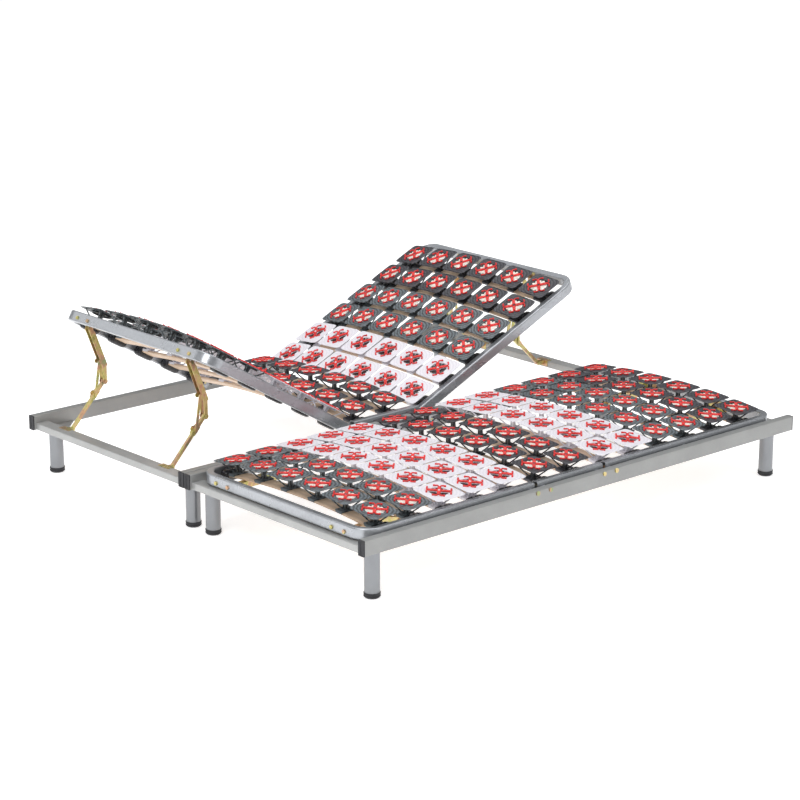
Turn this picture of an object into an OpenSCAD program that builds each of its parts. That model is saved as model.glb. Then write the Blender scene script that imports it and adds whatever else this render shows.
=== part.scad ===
/* [Overall] */
// Length of each single base
unit_length = 2000; // [1940:10:2060]
// Width of each single base
unit_width = 900; // [880:10:920]
// Gap between the two bases
unit_gap = 4; // [2:1:20]

/* [Raised sections] */
// Back angle of the left base
left_back_angle = 24; // [0:1:24]
// Leg angle of the left base
left_leg_angle = 31; // [0:1:31]
// Back angle of the right base
right_back_angle = 0; // [0:1:24]
// Leg angle of the right base
right_leg_angle = 0; // [0:1:31]

/* [Outer frame] */
// Height of the side rails
rail_height = 52; // [48:1:56]
// Thickness of the side rails
rail_thickness = 28; // [25:1:30]
// Height of the side rails' underside above the floor
rail_clearance = 160; // [120:5:220]
// Depth of the cross rails, front to back
cross_depth = 50; // [46:1:52]
// Height of the cross rails
cross_height = 25; // [22:1:26]
// Wall of every steel tube
wall = 1.5; // [1.2:0.1:2]
// Diameter of the round legs
leg_diameter = 50; // [45:1:54]
// Height of the rubber feet
foot_height = 18; // [14:1:24]

/* [Section frames] */
// Height of the section tubes
hoop_height = 38; // [36:1:39]
// Width of the section tubes
hoop_width = 25; // [24:1:26]
// Outside radius of the bent corners
hoop_corner = 70; // [60:5:80]

/* [Slats and pads] */
// Width of a slat
slat_width = 53; // [50:1:54]
// Thickness of a slat
slat_thickness = 8; // [7:0.5:9]
// Radius of the slats' upward bow
slat_bow = 3300; // [3200:50:3600]
// Spacing of the pads along a slat
pad_pitch = 135; // [134:1:137]
// Height of a pad's plate above its slat
pad_height = 50; // [48:1:52]
// Thickness of a pad's plate
plate_thickness = 3; // [2.5:0.5:4]

/* [Lifters] */
// Length of a lower arm between its pivots
lower_arm_length = 206; // [205.5:0.1:206.1]
// Length of an upper arm between its pivots
upper_arm_length = 203; // [202.9:0.1:203.5]

/* [Hidden] */
$fn = 48;

// Colours
matt_silver = [0.66, 0.66, 0.65];
bright_zinc = [0.55, 0.58, 0.62];
yellow_zinc = [0.72, 0.66, 0.28];
beech = [0.83, 0.69, 0.55];
soft_black = [0.10, 0.10, 0.11];
dark_grey = [0.27, 0.29, 0.31];
warm_white = [0.88, 0.87, 0.90];
insert_red = [0.85, 0.16, 0.18];

// Frame levels and inner faces, measured from the middle of a single base
unit_offset = (unit_width + unit_gap) / 2;
rail_centre = unit_width / 2 - rail_thickness / 2;
rail_inner = unit_width / 2 - rail_thickness;
rail_middle_z = rail_clearance + rail_height / 2;
cap_face = 4;
cap_plug = 16;
tube_edge = 3;
cross_setback = 12;
cross_inner = unit_length / 2 - cross_setback - cross_depth;
cross_middle_y = cross_inner + cross_depth / 2;
cross_middle_z = rail_clearance + cross_height / 2;
gusset_side = 108;
gusset_thickness = 4;
leg_inset_x = 52;
leg_inset_y = 77;
leg_seat = 4;

// Section frames, hinges and the fixed seat
side_gap = 6;
hoop_half = rail_inner - side_gap;
hoop_inner = hoop_half - hoop_width;
hoop_edge = 5;
leg_end = unit_length / 2 - 32;
back_end = unit_length / 2 - 55;
hoop_z = rail_clearance + cross_height + 3 + hoop_height / 2;
hinge_z = rail_clearance + rail_height - 9;
leg_hinge_y = -261;
back_hinge_y = 103;
seat_bolt_rows = [-203, 46];
hoop_tail = 18;
seat_clearance = 31;
pivot_radius = 5;
bolt_radius = 4;
running_gap = 0.06;

// Rows of slats, from the foot end to the head end
leg_rows = [for (i = [0:4]) -862 + 134 * i];
seat_rows = [-174, -26];
back_rows = [for (i = [0:5]) 129 + 138 * i];
slat_top = hoop_z + hoop_height / 2;
slat_half = 380;
holder_length = 72;
holder_depth = 35;
holder_drop = 7;
holder_height = 38;
pads_a_row = 6;
pad_depth = 116;
white_width = 128;
grey_width = 120;
seat_pad_width = 114;
seat_pad_depth = 108;

// Lifter pivots: the base pivot on a cross rail and the top pivot on a section's end tube
leg_lifter_x = 290;
back_lifter_x = 171;
tube_to_pivot = 18;
base_offset = 3;
base_z = rail_clearance + 20;
top_drop = -26;
leg_notch = 31;
back_notch = 24;
link_pivot_from_knee = 77;
link_length = 122;
collar_from_knee = 57;
pin_radius = 4;
lower_half = 5;
base_ear = [5.3, 8];
link_layer = [5.5, 8];
cheek = [9, 11.5];
top_ear = [12, 14.5];

function leg_angle(side) = side < 0 ? left_leg_angle : right_leg_angle;
function back_angle(side) = side < 0 ? left_back_angle : right_back_angle;

// The linkage seen from the side, y towards the seat; the back section's is the mirror image.
// s lists the section: its hinge's y, the outer face of its end tube and its top notch's angle.
leg_side = [leg_hinge_y, leg_end, leg_notch];
back_side = [-back_hinge_y, back_end, back_notch];
function flat_top(s) = [hoop_width + tube_to_pivot - s[1], hoop_z + top_drop];
function base_pivot(s) = [flat_top(s)[0] - base_offset, base_z];
function turn(v, a) = [v[0] * cos(a) + v[1] * sin(a), v[1] * cos(a) - v[0] * sin(a)];
function top_pivot(s, a) = [s[0], hinge_z] + turn(flat_top(s) - [s[0], hinge_z], a);
function line_angle(p, q) = atan2(q[1] - p[1], q[0] - p[0]);
function reach(s, a) = norm(top_pivot(s, a) - base_pivot(s));
function lower_angle(s, a) = line_angle(base_pivot(s), top_pivot(s, a))
    - acos((lower_arm_length ^ 2 + reach(s, a) ^ 2 - upper_arm_length ^ 2)
        / (2 * lower_arm_length * reach(s, a)));
function on_lower(s, a, d) = base_pivot(s) + d * [cos(lower_angle(s, a)), sin(lower_angle(s, a))];
function knee(s, a) = on_lower(s, a, lower_arm_length);
function upper_angle(s, a) = line_angle(top_pivot(s, a), knee(s, a));
function link_pivot(s, a) = knee(s, a)
    - link_pivot_from_knee * [cos(upper_angle(s, a)), sin(upper_angle(s, a))];
function link_fold(s) = line_angle(link_pivot(s, s[2]),
    on_lower(s, s[2], lower_arm_length - collar_from_knee)) - upper_angle(s, s[2]);
function link_angle(s, a) = upper_angle(s, a) + link_fold(s) * a / s[2];

// Flat outlines
module rounded_rect(w, h, r) {
    square([w - 2 * r, h], center = true);
    square([w, h - 2 * r], center = true);
    for (x = [-1, 1], y = [-1, 1])
        translate([x * (w / 2 - r), y * (h / 2 - r)]) circle(r);
}

module tube_section(w, h, r) {
    difference() {
        rounded_rect(w, h, r);
        rounded_rect(w - 2 * wall, h - 2 * wall, r - wall);
    }
}

module along_y(length) {
    rotate([90, 0, 0]) linear_extrude(length, center = true) children();
}

module along_x(length) {
    rotate([90, 0, 90]) linear_extrude(length, center = true) children();
}

module pin_along_x(radius, from, to) {
    translate([from, 0, 0]) rotate([0, 90, 0]) cylinder(r = radius, h = to - from);
}

// A flat plate in the plane of the side view, from one x to another
module side_plate(from, to) {
    translate([from, 0, 0]) rotate([90, 0, 90]) linear_extrude(to - from) children();
}

// Placement
module on_unit(side) {
    translate([side * unit_offset, 0, 0]) children();
}

module both_units() {
    for (side = [-1, 1]) on_unit(side) children();
}

module tilt(y, angle) {
    translate([0, y, hinge_z]) rotate([angle, 0, 0]) translate([0, -y, -hinge_z]) children();
}

module on_leg(side) {
    on_unit(side) tilt(leg_hinge_y, -leg_angle(side)) children();
}

module on_back(side) {
    on_unit(side) tilt(back_hinge_y, back_angle(side)) children();
}

// Outer frame
function hinge_rows() = [leg_hinge_y, back_hinge_y];

module on_rail_sides(rows) {
    both_units() for (m = [0, 1]) mirror([m, 0, 0]) for (y = rows) translate([0, y, hinge_z]) children();
}

module side_rails() {
    color(matt_silver) both_units() for (m = [0, 1]) mirror([m, 0, 0])
        difference() {
            translate([rail_centre, 0, rail_middle_z])
                along_y(unit_length - 2 * cap_face) tube_section(rail_thickness, rail_height, tube_edge);
            for (y = hinge_rows()) translate([0, y, hinge_z])
                pin_along_x(pivot_radius, rail_inner - 1, unit_width / 2 + 1);
            for (y = seat_bolt_rows) translate([0, y, hinge_z])
                pin_along_x(bolt_radius, rail_inner - 1, unit_width / 2 + 1);
        }
}

module cross_rails() {
    color(matt_silver) both_units() for (m = [0, 1]) mirror([0, m, 0])
        translate([0, cross_middle_y, cross_middle_z])
            along_x(2 * rail_inner) tube_section(cross_depth, cross_height, tube_edge);
}

module corner_plates() {
    color(matt_silver) both_units() for (mx = [0, 1], my = [0, 1]) mirror([mx, 0, 0]) mirror([0, my, 0])
        difference() {
            translate([rail_inner, cross_inner, rail_clearance]) linear_extrude(gusset_thickness)
                polygon([[0, 0], [-gusset_side, 0], [0, -gusset_side]]);
            translate([unit_width / 2 - leg_inset_x, unit_length / 2 - leg_inset_y, rail_clearance - 1])
                cylinder(r = pivot_radius, h = gusset_thickness + 2);
        }
}

module rail_end_caps() {
    color(soft_black) both_units() for (mx = [0, 1], my = [0, 1]) mirror([mx, 0, 0]) mirror([0, my, 0])
        translate([rail_centre, unit_length / 2, rail_middle_z]) difference() {
            union() {
                translate([0, -cap_face / 2, 0]) along_y(cap_face) rounded_rect(rail_thickness, rail_height, 2);
                translate([0, -cap_face - cap_plug / 2, 0]) along_y(cap_plug)
                    rounded_rect(rail_thickness - 2 * wall, rail_height - 2 * wall, tube_edge - wall);
            }
            translate([0, 0.5, 0]) cube([rail_thickness / 3, 3, rail_height - 8], center = true);
        }
}

module at_legs() {
    both_units() for (mx = [0, 1], my = [0, 1]) mirror([mx, 0, 0]) mirror([0, my, 0])
        translate([unit_width / 2 - leg_inset_x, unit_length / 2 - leg_inset_y, 0]) children();
}

module legs() {
    color(matt_silver) at_legs() difference() {
        translate([0, 0, leg_seat]) cylinder(d = leg_diameter, h = rail_clearance - leg_seat);
        translate([0, 0, leg_seat - 1])
            cylinder(d = leg_diameter - 2 * wall, h = rail_clearance - leg_seat - 3);
        cylinder(r = pivot_radius, h = rail_clearance + 1);
    }
}

module leg_feet() {
    rib = 1.2;
    flare = 2;
    color(soft_black) at_legs() difference() {
        rotate_extrude() polygon([[0, 0], [leg_diameter / 2 - 3, 0], [leg_diameter / 2 + flare, 5],
            [leg_diameter / 2 + flare, 8], [leg_diameter / 2 + flare - rib, 9],
            [leg_diameter / 2 + flare - rib, 12], [leg_diameter / 2 + flare, 13],
            [leg_diameter / 2 + flare, foot_height], [0, foot_height]]);
        translate([0, 0, leg_seat]) cylinder(d = leg_diameter, h = foot_height);
    }
}

// Bolts and spacers between the side rails and the tubes inside them
bolt_end = hoop_inner + 0.5;
bolt_head = 4;

module pivot_bolts() {
    color(yellow_zinc) on_rail_sides(hinge_rows()) {
        pin_along_x(pivot_radius, bolt_end, unit_width / 2);
        translate([unit_width / 2, 0, 0]) rotate([0, 90, 0]) cylinder(r = 8.5, h = bolt_head, $fn = 6);
    }
}

module pivot_spacers() {
    play = 0.3;
    color(bright_zinc) {
        on_rail_sides(hinge_rows()) difference() {
            pin_along_x(8.5, hoop_half + play, rail_inner);
            pin_along_x(pivot_radius, hoop_half, rail_inner + 1);
        }
        on_rail_sides(seat_bolt_rows) difference() {
            pin_along_x(8, hoop_half, rail_inner);
            pin_along_x(bolt_radius, hoop_half - 1, rail_inner + 1);
        }
    }
}

module frame_bolts() {
    color(yellow_zinc) {
        on_rail_sides(seat_bolt_rows) {
            pin_along_x(bolt_radius, bolt_end, unit_width / 2);
            translate([unit_width / 2, 0, 0]) rotate([0, 90, 0]) cylinder(r = 7.5, h = bolt_head, $fn = 6);
        }
        at_legs() translate([0, 0, rail_clearance - 3]) cylinder(r = pivot_radius, h = gusset_thickness + 3);
        at_legs() translate([0, 0, rail_clearance + gusset_thickness]) cylinder(r = 8.5, h = 6, $fn = 6);
    }
}

// Base brackets on the inner faces of the cross rails
module base_bracket(s) {
    back = 2;
    pivot = base_pivot(s);
    above_gusset = gusset_thickness + 1;
    color(yellow_zinc) {
        difference() {
            union() {
                translate([-34, -cross_inner, rail_clearance + above_gusset])
                    cube([56, back, cross_height - above_gusset]);
                translate([-34, -cross_inner - 22, rail_clearance + cross_height]) cube([56, 22 + back, 1.5]);
                for (x = [-base_ear[1], base_ear[0]]) side_plate(x, x + base_ear[1] - base_ear[0]) {
                    translate(pivot) circle(7);
                    translate([-cross_inner, base_z - 7]) square([pivot[0] + cross_inner, 14]);
                }
            }
            translate([0, pivot[0], pivot[1]]) pin_along_x(pin_radius, -20, 20);
        }
        translate([0, pivot[0], pivot[1]]) pin_along_x(pin_radius, -base_ear[1] - 0.6, base_ear[1] + 0.6);
        translate([-24, -cross_inner + back, base_z - 7]) rotate([-90, 0, 0]) cylinder(r = 6, h = 3);
    }
}

module lifter_base_brackets() {
    both_units() {
        for (x = [-leg_lifter_x, leg_lifter_x]) translate([x, 0, 0]) base_bracket(leg_side);
        for (x = [-back_lifter_x, back_lifter_x]) translate([x, 0, 0]) mirror([0, 1, 0]) base_bracket(back_side);
    }
}

module seat_rails() {
    from = leg_hinge_y + seat_clearance;
    to = back_hinge_y - seat_clearance;
    color(bright_zinc) both_units() for (m = [0, 1]) mirror([m, 0, 0]) difference() {
        translate([hoop_half - hoop_width / 2, (from + to) / 2, hoop_z])
            along_y(to - from) tube_section(hoop_width, hoop_height, hoop_edge);
        for (y = seat_bolt_rows) translate([0, y, hinge_z])
            pin_along_x(bolt_radius, hoop_inner - 1, hoop_half + 1);
    }
}

// Slats, their holders and the pads, in the flat position of a section
module slat() {
    rotate([90, 0, 0]) linear_extrude(slat_width, center = true) intersection() {
        translate([0, slat_top - slat_bow]) difference() {
            circle(slat_bow, $fn = 360);
            circle(slat_bow - slat_thickness, $fn = 360);
        }
        translate([-slat_half, slat_top - 60]) square([2 * slat_half, 80]);
    }
}

module slats(rows) {
    color(beech) for (y = rows) translate([0, y, 0]) slat();
}

module slat_holders(rows) {
    color(soft_black) for (y = rows, m = [0, 1]) mirror([m, 0, 0]) translate([0, y, 0]) difference() {
        translate([hoop_inner - holder_depth / 2, 0,
            hoop_z - hoop_height / 2 - holder_drop + holder_height / 2])
            along_y(holder_length) rounded_rect(holder_depth, holder_height, 8);
        slat();
    }
}

module on_slats(rows) {
    for (y = rows, i = [0:pads_a_row - 1]) {
        x = (i - (pads_a_row - 1) / 2) * pad_pitch;
        translate([0, y, slat_top - slat_bow]) rotate([0, asin(x / slat_bow), 0])
            translate([0, 0, slat_bow]) children();
    }
}

module pad(width, depth) {
    plate_bottom = pad_height - plate_thickness;
    window = 34;
    hub = 14;
    spoke = 22;
    corner = 14;
    foot_half = 17;
    lip = 2.5;
    inside = slat_width / 2;
    translate([0, 0, plate_bottom]) linear_extrude(plate_thickness) difference() {
        rounded_rect(width, depth, corner);
        difference() {
            circle(window);
            circle(hub);
            for (a = [45, -45]) rotate(a) square([3 * window, spoke], center = true);
        }
    }
    rotate([90, 0, 90]) linear_extrude(2 * foot_half, center = true)
        polygon([[-inside, 0], [-inside, -5], [-inside - lip, -5], [-inside - lip, 4],
            [inside + lip, 4], [inside + lip, -5], [inside, -5], [inside, 0]]);
    cylinder(r = 8, h = plate_bottom + 1);
    for (a = [45, 135]) rotate([0, 0, a]) rotate([90, 0, 0]) linear_extrude(4, center = true)
        for (m = [0, 1]) mirror([m, 0])
            polygon([[0, 2], [14, 2], [54, plate_bottom + 1], [44, plate_bottom + 1]]);
}

module pad_insert() {
    arm = 46;
    bar = 4.5;
    flare = 10;
    neck = 34;
    translate([0, 0, pad_height]) linear_extrude(2) for (a = [45:90:315]) rotate(a)
        polygon([[0, 0], [bar, -bar], [neck, -bar], [arm, -flare], [arm, flare], [neck, bar], [bar, bar]]);
}

module pads(rows, width, depth, finish) {
    color(finish) on_slats(rows) pad(width, depth);
}

module pad_inserts(rows) {
    color(insert_red) on_slats(rows) pad_insert();
}

// Leg section frame in its flat position; the back section's frame mirrors it about its own hinge
module hoop(hinge_y, end_y) {
    outward = end_y < hinge_y ? -1 : 1;
    tail = hinge_y - outward * hoop_tail;
    bend = end_y - outward * hoop_corner;
    centre = hoop_half - hoop_width / 2;
    for (m = [0, 1]) mirror([m, 0, 0]) {
        translate([centre, (tail + bend) / 2, hoop_z]) along_y(abs(bend - tail))
            tube_section(hoop_width, hoop_height, hoop_edge);
        translate([hoop_half - hoop_corner, bend, hoop_z]) rotate([0, 0, outward < 0 ? -90 : 0])
            rotate_extrude(angle = 90) translate([hoop_corner - hoop_width / 2, 0])
                tube_section(hoop_width, hoop_height, hoop_edge);
    }
    translate([0, end_y - outward * hoop_width / 2, hoop_z])
        along_x(2 * (hoop_half - hoop_corner)) tube_section(hoop_width, hoop_height, hoop_edge);
}

bracket_bolt_x = 30;

module section_frame(hinge_y, end_y, lifter_x) {
    color(bright_zinc) difference() {
        hoop(hinge_y, end_y);
        for (m = [0, 1]) mirror([m, 0, 0]) translate([0, hinge_y, hinge_z])
            pin_along_x(pivot_radius + running_gap, hoop_inner - 1, hoop_half + 1);
        for (x = [-lifter_x, lifter_x], d = [-bracket_bolt_x, bracket_bolt_x])
            translate([x + d, end_y, hoop_z - 4]) rotate([90, 0, 0])
                cylinder(r = bolt_radius, h = 3 * hoop_width, center = true);
    }
}

// Top bracket of a lifter on the inner face of the end tube, section flat
module top_bracket(s) {
    inner_face = hoop_width - s[1];
    back = 3;
    pivot = flat_top(s);
    low = rail_clearance + cross_height + 6;
    translate([-42, inner_face, low]) cube([84, back, 30]);
    for (m = [0, 1]) mirror([m, 0, 0]) {
        side_plate(top_ear[0], top_ear[1]) {
            translate(pivot) circle(8);
            polygon([[inner_face, low], [pivot[0] - 7, pivot[1] + 6], [pivot[0] + 8, pivot[1]],
                [inner_face + 12, low + 22], [inner_face, low + 28]]);
        }
        translate([0, pivot[0], pivot[1]]) pin_along_x(pin_radius, cheek[0], top_ear[1] + 2);
    }
    for (d = [-bracket_bolt_x, bracket_bolt_x]) translate([d, -s[1], hoop_z - 4]) rotate([-90, 0, 0]) {
        cylinder(r = bolt_radius, h = hoop_width);
        translate([0, 0, -bolt_head]) cylinder(r = 7, h = bolt_head, $fn = 6);
    }
}

module leg_brackets() {
    color(yellow_zinc) for (x = [-leg_lifter_x, leg_lifter_x]) translate([x, 0, 0]) top_bracket(leg_side);
}

module back_brackets() {
    color(yellow_zinc) mirror([0, 1, 0]) for (x = [-back_lifter_x, back_lifter_x])
        translate([x, 0, 0]) top_bracket(back_side);
}

// Lifter arms, drawn along +Y from their own pivots
module lower_arm() {
    half_depth = 6;
    collar = 36;
    bolt_rise = 5;
    collar_face = -base_ear[1] - 0.5;
    difference() {
        union() {
            side_plate(-lower_half, lower_half) {
                circle(7);
                translate([0, -half_depth]) square([lower_arm_length, 2 * half_depth]);
                translate([lower_arm_length, 0]) circle(8);
            }
            side_plate(collar_face, -lower_half) translate([lower_arm_length - collar_from_knee, 0]) {
                translate([-collar / 2, -half_depth - 3]) square([collar, 2 * half_depth + 5]);
                translate([0, bolt_rise]) circle(10.5);
            }
            side_plate(-lower_half, lower_half) translate([lower_arm_length - collar_from_knee, 0])
                translate([-collar / 2, -half_depth - 3]) square([collar, 2 * half_depth + 5]);
            translate([0, lower_arm_length, 0]) for (m = [0, 1]) mirror([m, 0, 0])
                pin_along_x(6, lower_half, lower_half + 0.4);
        }
        pin_along_x(pin_radius + running_gap, -20, 20);
        translate([0, lower_arm_length - collar_from_knee, bolt_rise]) difference() {
            pin_along_x(7, collar_face - 1, collar_face + 2);
            pin_along_x(4.5, collar_face - 2, collar_face + 3);
        }
    }
}

module upper_arm() {
    half_depth = 8;
    bend_from_knee = 52;
    bend_rise = 14;
    web = 2;
    fork = 40;
    near = 18;
    bend = [upper_arm_length - bend_from_knee, bend_rise];
    slope = bend[1] / bend[0];
    far = upper_arm_length - fork - 12;
    crest = half_depth + 5;
    difference() {
        union() {
            for (m = [0, 1]) mirror([m, 0, 0]) {
                side_plate(cheek[0], cheek[1]) {
                    circle(9);
                    translate([upper_arm_length - link_pivot_from_knee, 1]) circle(8);
                    translate([upper_arm_length, 0]) circle(10);
                    polygon([[0, -half_depth], [bend[0], bend[1] - half_depth],
                        [upper_arm_length, -half_depth], [upper_arm_length, half_depth],
                        [bend[0], bend[1] + half_depth], [bend[0], bend[1] + crest],
                        [near, near * slope + crest], [0, half_depth]]);
                }
                translate([0, upper_arm_length, 0]) rotate([0, 90, 0]) translate([0, 0, cheek[1]])
                    cylinder(r = 7, h = 4, $fn = 6);
            }
            side_plate(-cheek[1], cheek[1])
                polygon([[near, near * slope + crest - web], [far, far * slope + crest - web],
                    [far, far * slope + crest], [near, near * slope + crest]]);
            translate([0, upper_arm_length - link_pivot_from_knee, 0])
                pin_along_x(3, link_layer[0] - 0.1, cheek[1]);
        }
        for (m = [0, 1]) mirror([m, 0, 0]) pin_along_x(pin_radius + running_gap, 5, 20);
    }
}

module ratchet_link() {
    tooth = 6;
    teeth = 7;
    difference() {
        side_plate(link_layer[0], link_layer[1]) {
            circle(6);
            translate([0, -5]) square([link_length, 10]);
            translate([link_length, 0]) circle(5);
        }
        pin_along_x(3 + running_gap, 0, 30);
        for (i = [0:teeth - 1]) translate([0, link_length - 4 - i * tooth, 3.5]) cube([30, 2.5, 3]);
    }
}

module lifter_part(s, a, lifter_x, part) {
    b = base_pivot(s);
    t = top_pivot(s, a);
    p = link_pivot(s, a);
    color(yellow_zinc) for (x = [-lifter_x, lifter_x]) translate([x, 0, 0]) {
        if (part == "lower") translate([0, b[0], b[1]]) rotate([lower_angle(s, a), 0, 0]) lower_arm();
        if (part == "upper") translate([0, t[0], t[1]]) rotate([upper_angle(s, a), 0, 0]) upper_arm();
        if (part == "link") translate([0, p[0], p[1]]) rotate([link_angle(s, a), 0, 0]) ratchet_link();
    }
}

module leg_lifter(side, part) {
    on_unit(side) lifter_part(leg_side, leg_angle(side), leg_lifter_x, part);
}

module back_lifter(side, part) {
    on_unit(side) mirror([0, 1, 0]) lifter_part(back_side, back_angle(side), back_lifter_x, part);
}

module seat_slats() { both_units() slats(seat_rows); }
module seat_slat_holders() { both_units() slat_holders(seat_rows); }
module seat_pads() { both_units() pads(seat_rows, seat_pad_width, seat_pad_depth, soft_black); }
module seat_pad_inserts() { both_units() pad_inserts(seat_rows); }

module back_frame(side) { on_back(side) section_frame(back_hinge_y, back_end, back_lifter_x); }
module back_slats(side) { on_back(side) slats(back_rows); }
module back_slat_holders(side) { on_back(side) slat_holders(back_rows); }
module back_pads(side, rows, width, finish) { on_back(side) pads(rows, width, pad_depth, finish); }
module back_pad_inserts(side) { on_back(side) pad_inserts(back_rows); }

module leg_frame(side) { on_leg(side) section_frame(leg_hinge_y, -leg_end, leg_lifter_x); }
module leg_slats(side) { on_leg(side) slats(leg_rows); }
module leg_slat_holders(side) { on_leg(side) slat_holders(leg_rows); }
module leg_pads(side, rows, width, finish) { on_leg(side) pads(rows, width, pad_depth, finish); }
module leg_pad_inserts(side) { on_leg(side) pad_inserts(leg_rows); }

back_white = [back_rows[0], back_rows[1]];
back_grey = [back_rows[2], back_rows[3]];
back_black = [back_rows[4], back_rows[5]];
leg_grey = [leg_rows[0], leg_rows[1]];
leg_white = [leg_rows[2], leg_rows[3], leg_rows[4]];

module left_back_frame() { back_frame(-1); }
module left_back_slats() { back_slats(-1); }
module left_back_slat_holders() { back_slat_holders(-1); }
module left_back_pads_white() { back_pads(-1, back_white, white_width, warm_white); }
module left_back_pads_grey() { back_pads(-1, back_grey, grey_width, dark_grey); }
module left_back_pads_black() { back_pads(-1, back_black, grey_width, soft_black); }
module left_back_pad_inserts() { back_pad_inserts(-1); }
module left_back_brackets() { on_back(-1) back_brackets(); }
module left_back_lower_arms() { back_lifter(-1, "lower"); }
module left_back_upper_arms() { back_lifter(-1, "upper"); }
module left_back_ratchet_links() { back_lifter(-1, "link"); }

module left_leg_frame() { leg_frame(-1); }
module left_leg_slats() { leg_slats(-1); }
module left_leg_slat_holders() { leg_slat_holders(-1); }
module left_leg_pads_white() { leg_pads(-1, leg_white, white_width, warm_white); }
module left_leg_pads_grey() { leg_pads(-1, leg_grey, grey_width, dark_grey); }
module left_leg_pad_inserts() { leg_pad_inserts(-1); }
module left_leg_brackets() { on_leg(-1) leg_brackets(); }
module left_leg_lower_arms() { leg_lifter(-1, "lower"); }
module left_leg_upper_arms() { leg_lifter(-1, "upper"); }
module left_leg_ratchet_links() { leg_lifter(-1, "link"); }

module right_back_frame() { back_frame(1); }
module right_back_slats() { back_slats(1); }
module right_back_slat_holders() { back_slat_holders(1); }
module right_back_pads_white() { back_pads(1, back_white, white_width, warm_white); }
module right_back_pads_grey() { back_pads(1, back_grey, grey_width, dark_grey); }
module right_back_pads_black() { back_pads(1, back_black, grey_width, soft_black); }
module right_back_pad_inserts() { back_pad_inserts(1); }
module right_back_brackets() { on_back(1) back_brackets(); }
module right_back_lower_arms() { back_lifter(1, "lower"); }
module right_back_upper_arms() { back_lifter(1, "upper"); }
module right_back_ratchet_links() { back_lifter(1, "link"); }

module right_leg_frame() { leg_frame(1); }
module right_leg_slats() { leg_slats(1); }
module right_leg_slat_holders() { leg_slat_holders(1); }
module right_leg_pads_white() { leg_pads(1, leg_white, white_width, warm_white); }
module right_leg_pads_grey() { leg_pads(1, leg_grey, grey_width, dark_grey); }
module right_leg_pad_inserts() { leg_pad_inserts(1); }
module right_leg_brackets() { on_leg(1) leg_brackets(); }
module right_leg_lower_arms() { leg_lifter(1, "lower"); }
module right_leg_upper_arms() { leg_lifter(1, "upper"); }
module right_leg_ratchet_links() { leg_lifter(1, "link"); }

side_rails();
cross_rails();
corner_plates();
rail_end_caps();
legs();
leg_feet();
pivot_bolts();
pivot_spacers();
frame_bolts();
lifter_base_brackets();
seat_rails();
seat_slats();
seat_slat_holders();
seat_pads();
seat_pad_inserts();
left_back_frame();
left_back_slats();
left_back_slat_holders();
left_back_pads_white();
left_back_pads_grey();
left_back_pads_black();
left_back_pad_inserts();
left_back_brackets();
left_back_lower_arms();
left_back_upper_arms();
left_back_ratchet_links();
left_leg_frame();
left_leg_slats();
left_leg_slat_holders();
left_leg_pads_white();
left_leg_pads_grey();
left_leg_pad_inserts();
left_leg_brackets();
left_leg_lower_arms();
left_leg_upper_arms();
left_leg_ratchet_links();
right_back_frame();
right_back_slats();
right_back_slat_holders();
right_back_pads_white();
right_back_pads_grey();
right_back_pads_black();
right_back_pad_inserts();
right_back_brackets();
right_back_lower_arms();
right_back_upper_arms();
right_back_ratchet_links();
right_leg_frame();
right_leg_slats();
right_leg_slat_holders();
right_leg_pads_white();
right_leg_pads_grey();
right_leg_pad_inserts();
right_leg_brackets();
right_leg_lower_arms();
right_leg_upper_arms();
right_leg_ratchet_links();
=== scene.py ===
"""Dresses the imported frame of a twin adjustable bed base: pads, slats, holders and finishes."""

import math

import bmesh
import bpy
import numpy as np
from mathutils import Matrix, Vector


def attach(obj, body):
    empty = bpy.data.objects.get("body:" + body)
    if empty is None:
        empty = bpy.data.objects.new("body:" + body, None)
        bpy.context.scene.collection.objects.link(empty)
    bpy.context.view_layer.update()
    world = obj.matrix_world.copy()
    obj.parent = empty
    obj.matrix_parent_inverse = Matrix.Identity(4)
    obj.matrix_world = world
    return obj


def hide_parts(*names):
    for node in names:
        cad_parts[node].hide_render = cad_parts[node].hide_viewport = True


bl_info = {
    "name": "Adjustable Bed Base",
    "version": (1, 0, 0),
    "blender": (4, 5, 0),
    "location": "View3D > Sidebar > Bed Base",
    "description": "Builds the pads, slats and finishes of a twin adjustable bed base",
    "category": "Object",
}

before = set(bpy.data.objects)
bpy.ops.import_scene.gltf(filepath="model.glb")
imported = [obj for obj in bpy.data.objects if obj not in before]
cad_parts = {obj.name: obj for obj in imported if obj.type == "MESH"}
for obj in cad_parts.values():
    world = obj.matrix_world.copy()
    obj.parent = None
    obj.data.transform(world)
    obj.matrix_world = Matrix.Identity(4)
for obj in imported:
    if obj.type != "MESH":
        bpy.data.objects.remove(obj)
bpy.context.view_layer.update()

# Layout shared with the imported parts, in metres; a row is one slat's place along Y
UNIT_X = 0.452
HINGE_Z = 0.203
SLAT_TOP = 0.226
LEG_HINGE_Y = -0.261
BACK_HINGE_Y = 0.103
FIRST_LEG_ROW, LEG_PITCH = -0.862, 0.134
FIRST_BACK_ROW, BACK_PITCH = 0.129, 0.138
LEG_ROWS = [FIRST_LEG_ROW + LEG_PITCH * i for i in range(5)]
SEAT_ROWS = [-0.174, -0.026]
BACK_ROWS = [FIRST_BACK_ROW + BACK_PITCH * i for i in range(6)]
TUBE_INNER_X = 0.391
PADS_A_ROW = 6

# moving body: (side, hinge's y, angle about X at rest in degrees)
SECTIONS = {
    "left_leg": (-1, LEG_HINGE_Y, -31.0),
    "left_back": (-1, BACK_HINGE_Y, 24.0),
    "right_leg": (1, LEG_HINGE_Y, 0.0),
    "right_back": (1, BACK_HINGE_Y, 0.0),
}
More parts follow.
